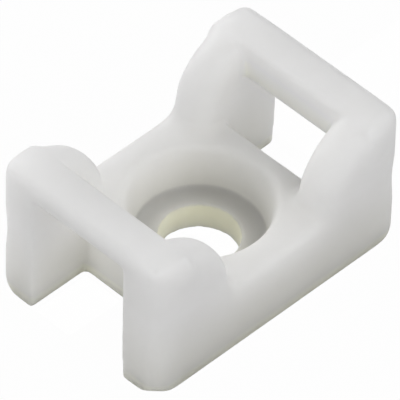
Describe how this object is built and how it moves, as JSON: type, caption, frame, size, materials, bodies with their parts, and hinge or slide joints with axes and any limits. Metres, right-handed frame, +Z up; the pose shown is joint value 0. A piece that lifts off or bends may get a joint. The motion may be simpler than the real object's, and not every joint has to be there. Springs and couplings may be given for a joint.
{
  "type": "cable tie mount",
  "caption": "One-piece moulded saddle that a screw fastens to a panel: a tie threads through the end slots, under the bars, and straps a cable down between the round ears.",
  "frame": {"origin": "Centre of the mounting face, where the screw's axis meets it.", "axes": "+X along the length, the way the tie runs; +Y along the width, the way the cable lies; +Z up, out of the panel along the screw."},
  "size_m": [0.015, 0.0102, 0.0077],
  "materials": {
    "nylon": "natural milky translucent nylon with a fine satin moulded surface"
  },
  "bodies": {
    "root": {"mount_body": "nylon"}
  },
  "joints": []
}
